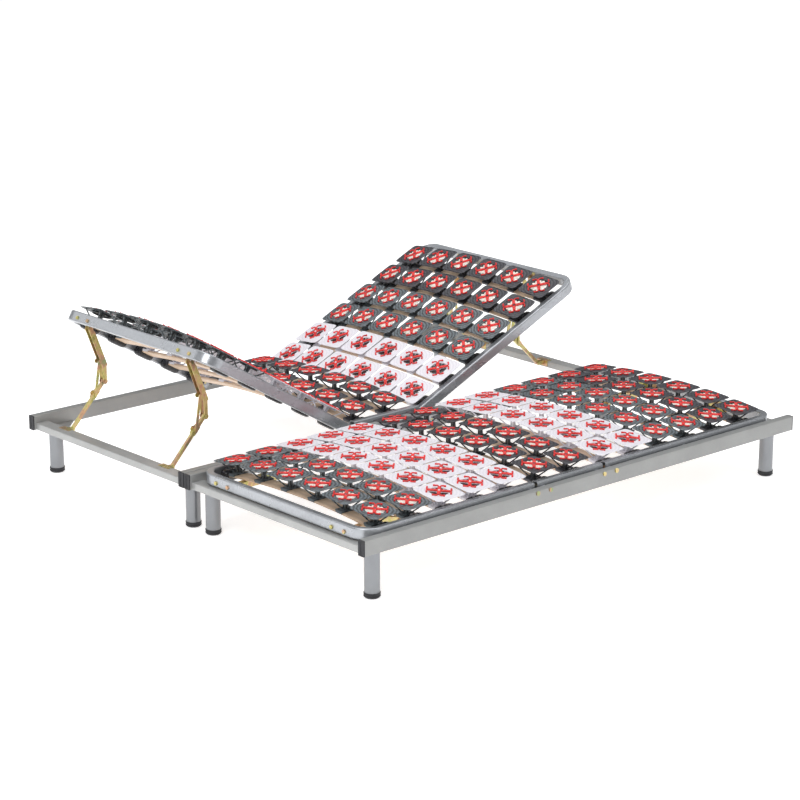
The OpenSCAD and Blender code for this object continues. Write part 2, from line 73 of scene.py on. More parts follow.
# node ending: the rows of a section that carry such pads
PAD_ROWS = {
    "leg_pads_grey": LEG_ROWS[:2],
    "leg_pads_white": LEG_ROWS[2:],
    "back_pads_white": BACK_ROWS[:2],
    "back_pads_grey": BACK_ROWS[2:4],
    "back_pads_black": BACK_ROWS[4:],
}


def on_bow(y, x, bow):
    """Placement on a slat's top, square to its bow; without a bow, level with the slat's crown."""
    if bow is None:
        return Matrix.Translation((x, y, SLAT_TOP))
    return (
        Matrix.Translation((0.0, y, SLAT_TOP - bow))
        @ Matrix.Rotation(math.asin(x / bow), 4, "Y")
        @ Matrix.Translation((0.0, 0.0, bow))
    )


def at_section(body, y, x=0.0, bow=None):
    """Placement on a slat of a moving section, tilted to the section's angle at rest."""
    side, hinge_y, angle = SECTIONS[body]
    tilt = (
        Matrix.Translation((side * UNIT_X, hinge_y, HINGE_Z))
        @ Matrix.Rotation(math.radians(angle), 4, "X")
        @ Matrix.Translation((0.0, -hinge_y, -HINGE_Z))
    )
    return tilt @ on_bow(y, x, bow)


def at_seat(side, y, x=0.0, bow=None):
    """Placement on a slat of a fixed seat; side is -1 for the left base and 1 for the right."""
    return Matrix.Translation((side * UNIT_X, 0.0, 0.0)) @ on_bow(y, x, bow)


def places_on(body, rows, across=(0.0,), bow=None):
    """Placements on every row of a body; the fixed body carries the seats of both bases."""
    if body == "base":
        return [at_seat(side, y, x, bow) for side in (-1, 1) for y in rows for x in across]
    return [at_section(body, y, x, bow) for y in rows for x in across]


# ---------------------------------------------------------------- shapes

SHARP_ANGLE = math.radians(35.0)


class Shape:
    """Vertices, faces and flat texture marks gathered from many small forms."""

    def __init__(self):
        self.verts = []
        self.faces = []
        self.marks = []

    def add(self, verts, faces, marks=None):
        """Joins a form; its marks are its x and y unless given."""
        start = len(self.verts)
        self.verts.extend(tuple(v) for v in verts)
        self.marks.extend(marks if marks is not None else [(v[0], v[1]) for v in verts])
        self.faces.extend(tuple(i + start for i in f) for f in faces)

    def copies(self, placements):
        """The same form at each placement, as one shape."""
        points = np.array(self.verts, dtype=float)
        whole = Shape()
        for placement in placements:
            move = np.array(placement)
            moved = points @ move[:3, :3].T + move[:3, 3]
            whole.add(moved.tolist(), self.faces, self.marks)
        return whole

    def to_object(self, name, material, body, slot):
        """One object that rides on a body, smooth but for its sharp edges."""
        mesh = bpy.data.meshes.new(name)
        mesh.from_pydata(self.verts, [], self.faces)
        layer = mesh.uv_layers.new(name="flat")
        loops = np.empty(len(mesh.loops), dtype=np.int32)
        mesh.loops.foreach_get("vertex_index", loops)
        layer.data.foreach_set("uv", np.array(self.marks, dtype=np.float32)[loops].ravel())
        mesh.polygons.foreach_set("use_smooth", [True] * len(mesh.polygons))
        mesh.set_sharp_from_angle(angle=SHARP_ANGLE)
        mesh.materials.append(material)
        mesh.validate()
        piece = bpy.data.objects.new(name, mesh)
        bpy.context.scene.collection.objects.link(piece)
        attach(piece, body)
        return piece


def ring_faces(rings, n, closed_ends=True):
    """Quads between consecutive rings of n points; closed ends fill the first and last ring."""
    faces = []
    for k in range(rings - 1):
        for i in range(n):
            j = (i + 1) % n
            faces.append((k * n + i, k * n + j, (k + 1) * n + j, (k + 1) * n + i))
    if closed_ends:
        faces.append(tuple(reversed(range(n))))
        faces.append(tuple((rings - 1) * n + i for i in range(n)))
    return faces


def lathe(shape, profile, n, centre=(0.0, 0.0)):
    """A round form about Z from (radius, height) pairs."""
    verts = []
    for r, z in profile:
        for i in range(n):
            t = 2 * math.pi * i / n
            verts.append((centre[0] + r * math.cos(t), centre[1] + r * math.sin(t), z))
    shape.add(verts, ring_faces(len(profile), n))


def sweep(shape, path, width, height, sides, power=2.0):
    """A bar along a path of points; a power of 2 makes its section oval, and more makes it boxy."""
    verts = []
    points = [Vector(p) for p in path]
    for k, p in enumerate(points):
        ahead = points[min(k + 1, len(points) - 1)] - points[max(k - 1, 0)]
        across = ahead.cross(Vector((0.0, 0.0, 1.0)))
        across = across.normalized() if across.length > 1e-9 else Vector((1.0, 0.0, 0.0))
        up = across.cross(ahead).normalized()
        for i in range(sides):
            t = 2 * math.pi * (i + 0.5) / sides
            c, s = math.cos(t), math.sin(t)
            a = math.copysign(abs(c) ** (2 / power), c) * width / 2
            b = math.copysign(abs(s) ** (2 / power), s) * height / 2
            verts.append(p + across * a + up * b)
    shape.add(verts, ring_faces(len(points), sides))


def soft_block(shape, low, high, radius, segments=2):
    """A block between two corners, with rounded edges."""
    bm = bmesh.new()
    bmesh.ops.create_cube(bm, size=1.0)
    size = [high[i] - low[i] for i in range(3)]
    middle = [(high[i] + low[i]) / 2 for i in range(3)]
    for v in bm.verts:
        v.co = Vector([v.co[i] * size[i] + middle[i] for i in range(3)])
    bmesh.ops.bevel(bm, geom=bm.edges[:], offset=radius, segments=segments, affect="EDGES")
    bm.verts.index_update()
    shape.add([v.co[:] for v in bm.verts], [[v.index for v in f.verts] for f in bm.faces])
    bm.free()


# ---------------------------------------------------------------- pads

PLATE_CORNER_POWER = 9.5
PLATE_SIDES = 64
PLATE_THICKNESS = 0.003
PLATE_FACE_DROP = 0.001
PLATE_EDGE_DROP = 0.0008
SKIRT_WALL, SKIRT_DEPTH = 0.002, 0.0095
RIM_HEIGHT, FAN_HEIGHT, BORDER_HEIGHT, POCKET_DEPTH = 0.0012, 0.0011, 0.0010, 0.0014
FAN_RIBS, POCKETS = 16, 8
# how far each ring of the plate lies from the window (0) towards the outline (1)
PLATE_STEPS = (0.0, 0.05, 0.12, 0.2, 0.3, 0.42, 0.56, 0.7, 0.82, 0.9, 0.96, 1.0)


def plate_outline(angle, half_x, half_y):
    """Distance from the middle to the plate's round-cornered edge."""
    c, s = abs(math.cos(angle)) / half_x, abs(math.sin(angle)) / half_y
    return (c ** PLATE_CORNER_POWER + s ** PLATE_CORNER_POWER) ** (-1 / PLATE_CORNER_POWER)


def swell(t, middle, spread):
    """A smooth rise to 1 at the middle, over the given spread."""
    return math.exp(-((t - middle) / spread) ** 2)


def plate_height(t, a, relief):
    """The moulded face's height over its own level: rim, ribbed fan, border and pockets."""
    z = -PLATE_FACE_DROP
    z += (0.3 + 0.7 * relief) * RIM_HEIGHT * swell(t, 0.12, 0.06)
    z += relief * FAN_HEIGHT * math.sin(FAN_RIBS * a) * swell(t, 0.45, 0.16)
    z += relief * BORDER_HEIGHT * swell(t, 0.88, 0.05)
    z -= relief * POCKET_DEPTH * swell(t, 0.7, 0.07) * (0.6 + 0.4 * math.cos(POCKETS * a))
    return z - PLATE_EDGE_DROP if t in (0.0, 1.0) else z


def pad_plate(shape, half_x, half_y, top, window, relief):
    """The pad's square plate with its rims, ribs and the skirt that hangs round its window."""
    n = PLATE_SIDES
    turns = [2 * math.pi * i / n for i in range(n)]
    verts = []
    for t in PLATE_STEPS:
        for a in turns:
            r = window + (plate_outline(a, half_x, half_y) - window) * t
            verts.append((r * math.cos(a), r * math.sin(a), top + plate_height(t, a, relief)))
    underside, skirt_end, skirt_outer = top - PLATE_THICKNESS, top - SKIRT_DEPTH, window + SKIRT_WALL
    back = ((None, underside), (skirt_outer, underside), (skirt_outer, skirt_end), (window, skirt_end))
    for reach, z in back:
        for a in turns:
            r = reach or plate_outline(a, half_x, half_y)
            verts.append((r * math.cos(a), r * math.sin(a), z))
    rings = len(verts) // n
    faces = ring_faces(rings, n, closed_ends=False)
    last = (rings - 1) * n
    for i in range(n):
        j = (i + 1) % n
        faces.append((last + i, last + j, j, i))
    shape.add(verts, faces)


def pad_stand(shape, top, slat_width):
    """Foot over the slat, with a lip down each edge, then the stem and four splayed arms."""
    half, lip, play = slat_width / 2, 0.0022, 0.0002
    soft_block(shape, (-0.018, -half - lip, 0.0), (0.018, half + lip, 0.0045), 0.0012)
    for y in (-half - lip, half + play):
        soft_block(shape, (-0.015, y, -0.005), (0.015, y + lip - play, 0.002), 0.0007, 1)
    lathe(shape, [(0.014, 0.004), (0.0135, 0.008), (0.0095, 0.011), (0.0085, 0.022),
                  (0.0095, 0.036), (0.013, top - 0.004)], 14)
    for k in range(4):
        a = math.radians(45 + 90 * k)
        path = [(r * math.cos(a), r * math.sin(a), z)
                for r, z in ((0.008, 0.006), (0.018, 0.010), (0.040, 0.029), (0.058, top - 0.003))]
        sweep(shape, path, 0.0045, 0.0048, 6, 3.0)


def pad_spokes(shape, top, window):
    """Crossed bars, hub and centre pin in the window, and the ring of pips round it."""
    reach, bar_z = window + 0.004, top - 0.0025
    for a in (math.radians(45), math.radians(135)):
        c, s = math.cos(a), math.sin(a)
        bar = [(-reach * c, -reach * s, bar_z), (reach * c, reach * s, bar_z)]
        sweep(shape, bar, 0.010, 0.003, 8, 4.0)
    lathe(shape, [(0.012, top - 0.009), (0.011, top - 0.002), (0.009, top - 0.001)], 14)
    lathe(shape, [(0.0042, top - 0.002), (0.0042, top + 0.003), (0.0028, top + 0.0044)], 10)
    pips, pip_circle = 16, window + 0.0065
    for k in range(pips):
        a = 2 * math.pi * (k + 0.5) / pips
        lathe(shape, [(0.0018, top - 0.002), (0.0017, top + 0.0004), (0.001, top + 0.0008)], 6,
              (pip_circle * math.cos(a), pip_circle * math.sin(a)))


def pad_insert(top):
    """Crossed insert: a ring and four arms, each of two bars joined by beads and splayed at the end."""
    shape = Shape()
    z = top + 0.0016
    # distance from the middle along the arm, and out from the arm's own line
    half_bar = ((0.006, 0.0026), (0.014, 0.0041), (0.026, 0.0029), (0.0355, 0.0031),
                (0.0392, 0.0050), (0.0402, 0.0105), (0.0388, 0.0180))
    for k in range(4):
        a = math.radians(45 + 90 * k)
        c, s = math.cos(a), math.sin(a)
        for side in (-1, 1):
            path = [(r * c - side * q * s, r * s + side * q * c, z) for r, q in half_bar]
            sweep(shape, path, 0.0042, 0.0050, 6)
            r, q = half_bar[-1]
            lathe(shape, [(0.0031, z - 0.0026), (0.0031, z + 0.0022), (0.0018, z + 0.0030)], 8,
                  (r * c - side * q * s, r * s + side * q * c))
        for r in (0.014, 0.026):
            lathe(shape, [(0.0056, z - 0.0024), (0.0052, z + 0.0020), (0.003, z + 0.0030)], 8,
                  (r * c, r * s))
    ring_radius, ring_steps = 0.0078, 12
    turns = [2 * math.pi * i / ring_steps for i in range(ring_steps + 1)]
    sweep(shape, [(ring_radius * math.cos(a), ring_radius * math.sin(a), z) for a in turns],
          0.0046, 0.0054, 6)
    return shape


def pad_star(top, window, drop):
    """The petalled disc inside the window, in the contrasting colour."""
    petals, points, thickness = 12, 96, 0.0015
    shape = Shape()
    outline = []
    for i in range(points):
        a = 2 * math.pi * i / points
        r = 0.62 * window + 0.37 * window * abs(math.cos(petals * a / 2)) ** 0.5
        outline.append((r * math.cos(a), r * math.sin(a)))
    verts = [(x, y, z) for z in (top - drop - thickness, top - drop) for x, y in outline]
    shape.add(verts, ring_faces(2, points))
    return shape


# ---------------------------------------------------------------- slats and holders

HOLDER_DEPTH, HOLDER_LENGTH, HOLDER_HALF_HEIGHT = 0.035, 0.072, 0.0188
HOLDER_MIDDLE_Z = 0.1995
# (place along the holder, share of its full section) for each ring of the body
HOLDER_RINGS = ((-0.5, 0.62), (-0.48, 0.8), (-0.43, 0.92), (-0.32, 0.98), (-0.3, 1.0), (0.3, 1.0),
                (0.32, 0.98), (0.43, 0.92), (0.48, 0.8), (0.5, 0.62))


def slat_form(half, width, thickness, bow):
    """A bowed slat with eased edges; its marks run along the grain and through the plies."""
    steps, edge = 28, 0.0022
    hw, ht = width / 2, thickness / 2
    section = [(-hw, -ht + edge), (-hw + edge, -ht), (hw - edge, -ht), (hw, -ht + edge),
               (hw, ht - edge), (hw - edge, ht), (-hw + edge, ht), (-hw, ht - edge)]
    verts, marks = [], []
    for k in range(steps + 1):
        x = -half + 2 * half * k / steps
        a = math.asin(x / bow)
        for y, h in section:
            r = bow - thickness / 2 + h
            verts.append((r * math.sin(a), y, r * math.cos(a) - bow))
            marks.append((x, y * 0.25 + h * 4.0))
    shape = Shape()
    shape.add(verts, ring_faces(steps + 1, len(section)), marks)
    return shape


def holder_form(sign):
    """Holder beside the tube on one side (1 or -1), at its height over the floor: body, lip and ribs."""
    shape = Shape()
    tube_gap, mouth_gap, sides = 0.0004, 0.001, 20
    middle_x = TUBE_INNER_X - HOLDER_DEPTH / 2 - tube_gap
    verts = []
    for y, share in HOLDER_RINGS:
        for i in range(sides):
            a = 2 * math.pi * i / sides
            c, s = math.cos(a), math.sin(a)
            x = math.copysign(abs(c) ** 0.5, c) * HOLDER_DEPTH / 2 * share
            z = math.copysign(abs(s) ** 0.55, s) * HOLDER_HALF_HEIGHT * share
            verts.append((sign * (middle_x + x), y * HOLDER_LENGTH, HOLDER_MIDDLE_Z + z))
    shape.add(verts, ring_faces(len(HOLDER_RINGS), sides))
    mouth = TUBE_INNER_X - HOLDER_DEPTH - mouth_gap
    low, high = sorted((sign * mouth, sign * (mouth + 0.010)))
    soft_block(shape, (low, -0.031, 0.1875), (high, 0.031, 0.2135), 0.003)
    low, high = sorted((sign * (mouth + 0.012), sign * (mouth + 0.030)))
    for y in (-0.018, 0.0, 0.018):
        soft_block(shape, (low, y - 0.0022, 0.210), (high, y + 0.0022, 0.2196), 0.0009, 1)
    return shape


# ---------------------------------------------------------------- finishes


class Finish:
    """Wires one procedural finish round a material's own shader."""

    def __init__(self, name):
        self.material = bpy.data.materials.new(name)
        self.material.use_nodes = True
        self.tree = self.material.node_tree
        self.shader = self.tree.nodes["Principled BSDF"]
        self.coord = self.tree.nodes.new("ShaderNodeTexCoord")

    def node(self, kind, **inputs):
        """A new node with some of its inputs set; an underscore stands for a space in a name."""
        made = self.tree.nodes.new(kind)
        for key, value in inputs.items():
            made.inputs[key.replace("_", " ")].default_value = value
        return made

    def link(self, a, out, b, into):
        self.tree.links.new(a.outputs[out], b.inputs[into])

    def placed(self, scale=(1.0, 1.0, 1.0), source="Object"):
        """Texture coordinates stretched by a scale."""
        mapping = self.node("ShaderNodeMapping", Scale=scale)
        self.link(self.coord, source, mapping, "Vector")
        return mapping

    def noise(self, scale, detail=3.0, roughness=0.55, stretch=(1.0, 1.0, 1.0), source="Object"):
        """A noise texture on placed coordinates."""
        made = self.node("ShaderNodeTexNoise", Scale=scale, Detail=detail, Roughness=roughness)
        self.link(self.placed(stretch, source), "Vector", made, "Vector")
        return made

    def ramp(self, source, out, stops):
        """A colour ramp with (position, colour) stops."""
        made = self.tree.nodes.new("ShaderNodeValToRGB")
        band = made.color_ramp
        while len(band.elements) < len(stops):
            band.elements.new(0.5)
        for element, (at, colour) in zip(band.elements, stops):
            element.position = at
            element.color = (*colour, 1.0)
        self.link(source, out, made, "Fac")
        return made

    def colour(self, source, out="Color"):
        """Colours the surface from a node."""
        self.link(source, out, self.shader, "Base Color")

    def rough(self, source, low, high):
        """Roughness between low and high as the node's factor goes from 0 to 1."""
        made = self.node("ShaderNodeMapRange", To_Min=low, To_Max=high)
        self.link(source, "Fac", made, "Value")
        self.link(made, "Result", self.shader, "Roughness")

    def bump(self, source, strength, distance, out="Fac"):
        """Fine relief from a node."""
        made = self.node("ShaderNodeBump", Strength=strength, Distance=distance)
        self.link(source, out, made, "Height")
        self.link(made, "Normal", self.shader, "Normal")


def shade(colour, factor):
    """A lighter or darker shade of a colour."""
    return tuple(min(1.0, c * factor) for c in colour[:3])


def silver_paint(name, colour, metallic, low, high):
    """Satin silver paint with faint clouding and metal flake."""
    f = Finish(name)
    f.shader.inputs["Metallic"].default_value = metallic
    cloud = f.noise(9.0, 4.0)
    flake = f.noise(700.0, 2.0)
    mix = f.node("ShaderNodeMixRGB", Fac=0.35)
    f.link(cloud, "Fac", mix, "Color1")
    f.link(flake, "Fac", mix, "Color2")
    f.colour(f.ramp(mix, "Color", [(0.3, shade(colour, 0.88)), (0.7, shade(colour, 1.1))]))
    f.rough(cloud, low, high)
    f.bump(flake, 0.18, 0.0002)
    return f.material


def bright_zinc(colour):
    """Bright zinc plate with faint streaks and specks."""
    f = Finish("bright_zinc_plate")
    f.shader.inputs["Metallic"].default_value = 0.65
    speck = f.noise(120.0, 4.0, 0.6)
    streak = f.noise(9.0, 4.0, 0.5, (1.0, 0.3, 1.0))
    mix = f.node("ShaderNodeMixRGB", Fac=0.45)
    f.link(streak, "Fac", mix, "Color1")
    f.link(speck, "Fac", mix, "Color2")
    f.colour(f.ramp(mix, "Color", [
        (0.36, shade(colour, 0.84)), (0.5, colour), (0.66, shade(colour, 1.12))]))
    f.rough(streak, 0.2, 0.34)
    return f.material


def yellow_zinc(colour):
    """Yellow zinc plate whose film turns from olive through gold to rose."""
    olive, green = (0.30, 0.36, 0.14), (0.30, 0.37, 0.18)
    gold, rose = (0.66, 0.55, 0.24), (0.60, 0.34, 0.22)
    f = Finish("yellow_zinc_plate")
    f.shader.inputs["Metallic"].default_value = 0.75
    film = f.noise(26.0, 3.0, 0.6, (1.0, 1.0, 0.6))
    f.colour(f.ramp(film, "Fac", [
        (0.30, olive), (0.42, colour), (0.50, gold), (0.58, rose), (0.70, green)]))
    f.rough(film, 0.2, 0.38)
    f.bump(f.noise(240.0, 3.0), 0.12, 0.0003)
    return f.material


def beech(colour):
    """Lacquered beech with its grain along the slat."""
    f = Finish("beech_plies")
    grain = f.noise(7.0, 5.0, 0.55, (1.0, 22.0, 1.0), "UV")
    wave = f.node("ShaderNodeTexWave", Scale=4.0, Distortion=3.0, Detail=2.0)
    wave.wave_type = "BANDS"
    wave.bands_direction = "Y"
    f.link(f.placed((0.6, 12.0, 1.0), "UV"), "Vector", wave, "Vector")
    mix = f.node("ShaderNodeMixRGB", Fac=0.3)
    f.link(grain, "Fac", mix, "Color1")
    f.link(wave, "Color", mix, "Color2")
    f.colour(f.ramp(mix, "Color", [
        (0.2, shade(colour, 0.8)), (0.5, colour), (0.8, shade(colour, 1.1))]))
    f.rough(grain, 0.4, 0.55)
    f.bump(grain, 0.06, 0.0003)
    return f.material


def moulded(name, colour, low, high, lift=1.5, coat=0.0):
    """A moulded plastic or rubber with a fine texture and faint flow marks."""
    f = Finish(name)
    f.shader.inputs["Coat Weight"].default_value = coat
    flow = f.noise(38.0, 4.0)
    f.colour(f.ramp(flow, "Fac", [
        (0.32, shade(colour, 1 / lift)), (0.5, colour), (0.7, shade(colour, lift))]))
    f.rough(flow, low, high)
    f.bump(f.noise(700.0, 2.0), 0.2, 0.0003)
    return f.material


def feathered(name, colour, painted_line_shade, light, low, high):
    """Pad plastic with the fine feathered lines and pips moulded into its face; its colour paints shade
    into the lines and a highlight onto the ridges.
    """
    f = Finish(name)
    rays = f.node("ShaderNodeTexVoronoi", Scale=150.0, Randomness=0.35)
    f.link(f.placed((1.0, 1.0, 1.0), "UV"), "Vector", rays, "Vector")
    rings = f.node("ShaderNodeTexWave", Scale=28.0, Distortion=2.2, Detail=1.0, Detail_Scale=2.0)
    rings.wave_type = "RINGS"
    rings.rings_direction = "SPHERICAL"
    f.link(f.placed((1.0, 1.0, 0.0), "UV"), "Vector", rings, "Vector")
    mix = f.node("ShaderNodeMixRGB", Fac=0.5)
    f.link(rays, "Distance", mix, "Color1")
    f.link(rings, "Color", mix, "Color2")
    # the dark stop is painted shade in the fine lines and the light factor a painted highlight on the
    # ridges; the bump gives the relief itself
    f.colour(f.ramp(mix, "Color", [(0.15, painted_line_shade), (0.4, colour), (0.75, shade(colour, light))]))
    f.rough(rings, low, high)
    f.bump(mix, 0.25, 0.0005, "Color")
    return f.material


# ---------------------------------------------------------------- settings


class BedSizes(bpy.types.PropertyGroup):
    """Sizes of the slats and pads"""

    slat_width: bpy.props.FloatProperty(
        name="Slat width", description="Width of each slat", default=0.053, unit="LENGTH")
    slat_thickness: bpy.props.FloatProperty(
        name="Slat thickness", description="Thickness of each slat", default=0.008, unit="LENGTH")
    slat_half: bpy.props.FloatProperty(
        name="Half slat", description="Half a slat's length", default=0.380, unit="LENGTH")
    slat_bow: bpy.props.FloatProperty(
        name="Slat bow", description="Radius of the slats' upward bow", default=3.3, unit="LENGTH")
    pad_pitch: bpy.props.FloatProperty(
        name="Pad pitch", description="Spacing of the pads along a slat", default=0.135, unit="LENGTH")
    pad_height: bpy.props.FloatProperty(
        name="Pad height", description="Top of a pad above its slat", default=0.050, unit="LENGTH")
    pad_window: bpy.props.FloatProperty(
        name="Pad window", description="Radius of the round window in a pad", default=0.0325,
        unit="LENGTH")


class BedColours(bpy.types.PropertyGroup):
    """Colours of the finishes"""

    silver: bpy.props.FloatVectorProperty(
        name="Rails", description="Satin paint of the rails", subtype="COLOR",
        default=(0.315, 0.317, 0.312))
    # the legs' colour is a darker, bluer copy of the rails' silver: painted shade
    legs: bpy.props.FloatVectorProperty(
        name="Legs", description="Satin paint of the legs", subtype="COLOR",
        default=(0.27, 0.278, 0.292))
    zinc: bpy.props.FloatVectorProperty(
        name="Section tubes", description="Bright zinc of the section tubes", subtype="COLOR",
        default=(0.43, 0.445, 0.47))
    yellow: bpy.props.FloatVectorProperty(
        name="Lifters", description="Yellow zinc of the lifters and bolts", subtype="COLOR",
        default=(0.52, 0.46, 0.16))
    wood: bpy.props.FloatVectorProperty(
        name="Slats", description="Beech of the slats", subtype="COLOR", default=(0.72, 0.53, 0.38))
    black: bpy.props.FloatVectorProperty(
        name="Black plastic", description="Holders and black pads", subtype="COLOR",
        default=(0.022, 0.022, 0.026))
    grey: bpy.props.FloatVectorProperty(
        name="Grey pads", description="Grey pads", subtype="COLOR", default=(0.085, 0.10, 0.11))
    white: bpy.props.FloatVectorProperty(
        name="White pads", description="White pads", subtype="COLOR", default=(0.80, 0.78, 0.83))
    red: bpy.props.FloatVectorProperty(
        name="Inserts", description="Red inserts in the pads", subtype="COLOR",
        default=(0.78, 0.035, 0.032))


class BedView(bpy.types.PropertyGroup):
    """Where the camera stands and its lens"""

    heading: bpy.props.FloatProperty(
        name="Heading", description="Camera's turn from the foot end", default=math.radians(48.284),
        subtype="ANGLE")
    pitch: bpy.props.FloatProperty(
        name="Pitch", description="Camera's height angle", default=math.radians(16.229),
        subtype="ANGLE")
    distance: bpy.props.FloatProperty(
        name="Distance", description="Camera's distance", default=9.3127, unit="LENGTH")
    lens: bpy.props.FloatProperty(name="Lens", description="Focal length in millimetres", default=116.0)


def sizes():
    """The sizes set on the scene."""
    return bpy.context.scene.bed_sizes


FINISHES = {}


def finish(name):
    """The named finish, made the first time it is asked for."""
    tone = bpy.context.scene.bed_colours
    makers = {
        "silver_paint": lambda: silver_paint("satin_silver_paint", tone.silver, 0.25, 0.32, 0.44),
        # the cross rails take the rail silver made 1.35 times lighter, as painted light, with lower
        # roughness
        "cross_silver_painted_light": lambda: silver_paint(
            "glossy_silver_painted_light", shade(tone.silver, 1.35), 0.25, 0.2, 0.3),
        # the legs take their own darker, bluer copy of the rail silver, as painted shade
        "legs_silver_painted_shade": lambda: silver_paint("satin_legs_silver_painted_shade", tone.legs, 0.8, 0.26, 0.36),
        "bright_zinc": lambda: bright_zinc(tone.zinc),
        "yellow_zinc": lambda: yellow_zinc(tone.yellow),
        "beech": lambda: beech(tone.wood),
        "black_plastic": lambda: moulded("black_moulding", tone.black, 0.12, 0.3, lift=1.6, coat=0.3),
        "black_rubber": lambda: moulded("black_rubber", tone.black, 0.45, 0.65),
        # each pad finish: its colour, the painted shade of its fine lines, the painted highlight factor
        # of its ridges, and its roughness
        "pad_black": lambda: feathered(
            "black_pads", shade(tone.black, 1.5), (0.008, 0.008, 0.01), 2.6, 0.3, 0.5),
        "pad_grey": lambda: feathered(
            "grey_pads", tone.grey, (0.014, 0.016, 0.018), 2.0, 0.3, 0.5),
        "pad_white": lambda: feathered(
            "white_pads", tone.white, (0.72, 0.70, 0.76), 1.04, 0.4, 0.55),
        "star_cream": lambda: moulded("cream_stars", (0.84, 0.82, 0.74), 0.35, 0.5, lift=1.1),
        "red_plastic": lambda: moulded("red_inserts", tone.red, 0.28, 0.4, lift=1.25),
    }
    if name not in FINISHES:
        FINISHES[name] = makers[name]()
    return FINISHES[name]


# ---------------------------------------------------------------- pieces

# a star's (finish, record's slot, drop below the plate)
DARK_STAR = ("black_plastic", "black_plastic", 0.0036)
PALE_STAR = ("star_cream", "white_plastic", 0.0012)

# node ending: (finish, half length along the slat, half depth, relief, record's slot, star)
PAD_KINDS = {
    "pads_white": ("pad_white", 0.0645, 0.0615, 0.15, "white_plastic", DARK_STAR),
    "pads_grey": ("pad_grey", 0.0605, 0.0590, 1.0, "grey_plastic", PALE_STAR),
    "pads_black": ("pad_black", 0.0605, 0.0590, 1.0, "black_plastic", PALE_STAR),
    "seat_pads": ("pad_black", 0.0580, 0.0550, 1.0, "black_plastic", PALE_STAR),
}


def pad_places(body, rows):
    """Where the pads of some rows stand, square to their bowed slats."""
    s = sizes()
    across = [(i - (PADS_A_ROW - 1) / 2) * s.pad_pitch for i in range(PADS_A_ROW)]
    return places_on(body, rows, across, s.slat_bow)


def section_rows(body):
    """The rows of a moving section."""
    return LEG_ROWS if body.endswith("leg") else BACK_ROWS


def build_pads(node, kind, body, rows):
    """Pads of one kind and the stars in their windows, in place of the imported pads."""
    s = sizes()
    skin, half_x, half_y, relief, slot, (star_skin, star_slot, drop) = PAD_KINDS[kind]
    pad = Shape()
    pad_plate(pad, half_x, half_y, s.pad_height, s.pad_window, relief)
    pad_stand(pad, s.pad_height, s.slat_width)
    pad_spokes(pad, s.pad_height, s.pad_window)
    places = pad_places(body, rows)
    piece = pad.copies(places).to_object(node + "_moulded", finish(skin), body, slot)
    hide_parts(node)
    star = pad_star(s.pad_height, s.pad_window, drop)
    star.copies(places).to_object(node + "_stars", finish(star_skin), body, star_slot)


def build_inserts(node, body, rows):
    """Red inserts on the pads of some rows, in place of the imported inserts."""
    inserts = pad_insert(sizes().pad_height).copies(pad_places(body, rows))
    piece = inserts.to_object(node + "_moulded", finish("red_plastic"), body, "red_plastic")
    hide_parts(node)


def build_slats(node, body, rows):
    """Bowed slats of some rows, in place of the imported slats."""
    s = sizes()
    slat = slat_form(s.slat_half, s.slat_width, s.slat_thickness, s.slat_bow)
    slats = slat.copies(places_on(body, rows))
    piece = slats.to_object(node + "_bowed", finish("beech"), body, "beech")
    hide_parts(node)


def build_holders(node, body, rows):
    """A holder at each end of the slats of some rows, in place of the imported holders."""
    pair = Shape()
    for sign in (1.0, -1.0):
        holder = holder_form(sign)
        pair.add([(x, y, z - SLAT_TOP) for x, y, z in holder.verts], holder.faces)
    holders = pair.copies(places_on(body, rows))
    piece = holders.to_object(node + "_moulded", finish("black_plastic"), body, "black_plastic")
    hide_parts(node)


def paint_nodes(endings, name):
    """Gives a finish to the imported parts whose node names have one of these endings."""
    for node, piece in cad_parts.items():
        if node.endswith(endings):
            piece.data.materials.clear()
            piece.data.materials.append(finish(name))


# ---------------------------------------------------------------- operators


class BED_OT_pads(bpy.types.Operator):
    """Build the spring pads on every row"""

    bl_idname = "bed.pads"
    bl_label = "Pads"

    def execute(self, context):
        for body in SECTIONS:
            side, section = body.split("_")
            for ending, rows in PAD_ROWS.items():
                if ending.startswith(section):
                    kind = ending.split("_", 1)[1]
                    build_pads(side + "_" + ending, kind, body, rows)
        build_pads("seat_pads", "seat_pads", "base", SEAT_ROWS)
        return {"FINISHED"}


class BED_OT_inserts(bpy.types.Operator):
    """Build the red crossed inserts in the pads"""

    bl_idname = "bed.inserts"
    bl_label = "Pad inserts"

    def execute(self, context):
        for body in SECTIONS:
            build_inserts(body + "_pad_inserts", body, section_rows(body))
        build_inserts("seat_pad_inserts", "base", SEAT_ROWS)
        return {"FINISHED"}


class BED_OT_slats(bpy.types.Operator):
    """Build the bowed wooden slats"""

    bl_idname = "bed.slats"
    bl_label = "Slats"

    def execute(self, context):
        for body in SECTIONS:
            build_slats(body + "_slats", body, section_rows(body))
        build_slats("seat_slats", "base", SEAT_ROWS)
        return {"FINISHED"}


class BED_OT_holders(bpy.types.Operator):
    """Build the slat holders beside the tubes"""

    bl_idname = "bed.holders"
    bl_label = "Slat holders"

    def execute(self, context):
        for body in SECTIONS:
            build_holders(body + "_slat_holders", body, section_rows(body))
        build_holders("seat_slat_holders", "base", SEAT_ROWS)
        return {"FINISHED"}


